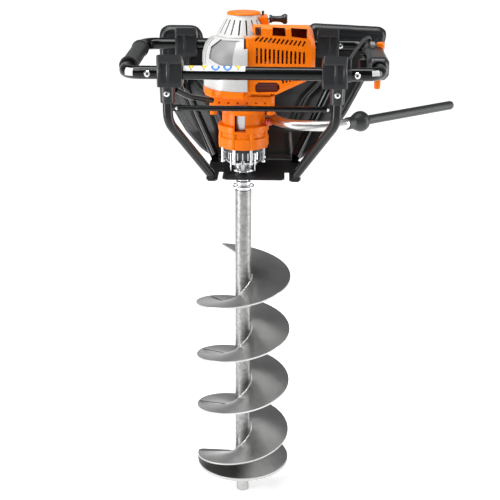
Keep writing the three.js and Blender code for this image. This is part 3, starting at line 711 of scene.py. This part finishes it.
# ---- floor, light and camera ----
def ranged(tree, low, high, to_low, to_high):
    """A Map Range node between two pairs of values."""
    node = tree.nodes.new("ShaderNodeMapRange")
    for name, value in (("From Min", low), ("From Max", high), ("To Min", to_low), ("To Max", to_high)):
        node.inputs[name].default_value = value
    return node


def lamp(name, kind, place, target, power, **more):
    light = bpy.data.lights.new(name, kind)
    light.energy = power
    for key, value in more.items():
        setattr(light, key, value)
    o = bpy.data.objects.new(name, light)
    bpy.context.scene.collection.objects.link(o)
    o.location = place
    o.rotation_euler = (Vector(target) - Vector(place)).to_track_quat("-Z", "Y").to_euler()


def setting():
    """Floor, world and lamps, in metres."""
    half = 30
    corners = [(-half, -half, 0), (half, -half, 0), (half, half, 0), (-half, half, 0)]
    me = bpy.data.meshes.new("floor")
    me.from_pydata(corners, [], [(0, 1, 2, 3)])
    floor = bpy.data.objects.new("floor", me)
    bpy.context.scene.collection.objects.link(floor)
    white = principled("floor_white", (0.93, 0.93, 0.93), 0.7)
    glow = white.node_tree.nodes["Principled BSDF"].inputs
    glow["Emission Color"].default_value = (1, 1, 1, 1)
    glow["Emission Strength"].default_value = 0.42
    me.materials.append(white)
    floor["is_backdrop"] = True

    # Plain studio: a white backdrop for the camera, and for everything else a light that is weaker
    # in front than behind and weaker overhead than at the sides.
    world = bpy.data.worlds.new("studio")
    bpy.context.scene.world = world
    world.use_nodes = True
    t = world.node_tree
    sky = t.nodes["Background"]
    where, split = t.nodes.new("ShaderNodeTexCoord"), t.nodes.new("ShaderNodeSeparateXYZ")
    seen, pick = t.nodes.new("ShaderNodeLightPath"), t.nodes.new("ShaderNodeMix")
    both = t.nodes.new("ShaderNodeMath")
    both.operation = "MULTIPLY"
    level, overhead = ranged(t, -1, 1, 0.12, 0.42), ranged(t, 0.1, 0.65, 1.0, 0.5)
    t.links.new(where.outputs["Generated"], split.inputs[0])
    t.links.new(split.outputs["Y"], level.inputs["Value"])
    t.links.new(split.outputs["Z"], overhead.inputs["Value"])
    t.links.new(level.outputs["Result"], both.inputs[0])
    t.links.new(overhead.outputs["Result"], both.inputs[1])
    t.links.new(seen.outputs["Is Camera Ray"], pick.inputs["Factor"])
    t.links.new(both.outputs["Value"], pick.inputs["A"])
    pick.inputs["B"].default_value = 1.0
    sky.inputs["Color"].default_value = (1, 1, 1, 1)
    t.links.new(pick.outputs["Result"], sky.inputs["Strength"])

    lamp("sun", "SUN", (-1.2, -1.5, 3), (0, 0, 0.5), 2.1, angle=math.radians(40))
    tall = {"shape": "RECTANGLE", "size": 0.45, "size_y": 1.9}
    lamp("strip_left", "AREA", (-1.7, -0.7, 1.0), (0, 0, 0.6), 34, **tall)
    lamp("strip_right", "AREA", (1.8, -0.2, 1.0), (0, 0, 0.6), 22, **tall)
    lamp("top", "AREA", (0, -0.1, 2.5), (0, 0, 0.8), 30, shape="RECTANGLE", size=1.8, size_y=0.7)


def camera():
    """The camera of the main view, in metres."""
    turn, pitch, roll = math.radians(1.73), math.radians(19.45), math.radians(0.27)
    place, sensor, focal = (0.0787, -2.1352, 1.3259), 36, 77.94432
    right = Vector((math.cos(turn), math.sin(turn), 0))
    ahead = Vector((-math.sin(turn) * math.cos(pitch), math.cos(turn) * math.cos(pitch), -math.sin(pitch)))
    up = right.cross(ahead)
    x = right * math.cos(roll) + up * math.sin(roll)
    y = up * math.cos(roll) - right * math.sin(roll)
    cam = bpy.data.cameras.new("camera")
    cam.sensor_width = sensor
    cam.lens = focal
    o = bpy.data.objects.new("camera", cam)
    bpy.context.scene.collection.objects.link(o)
    rows = [(x[k], y[k], -ahead[k], place[k]) for k in range(3)]
    o.matrix_world = Matrix((*rows, (0, 0, 0, 1)))
    bpy.context.scene.camera = o


setting()
camera()
bpy.context.scene.view_settings.view_transform = "Standard"

size = {"cad": [list(c) for c in cad_size], "shown": [list(c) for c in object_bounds()]}
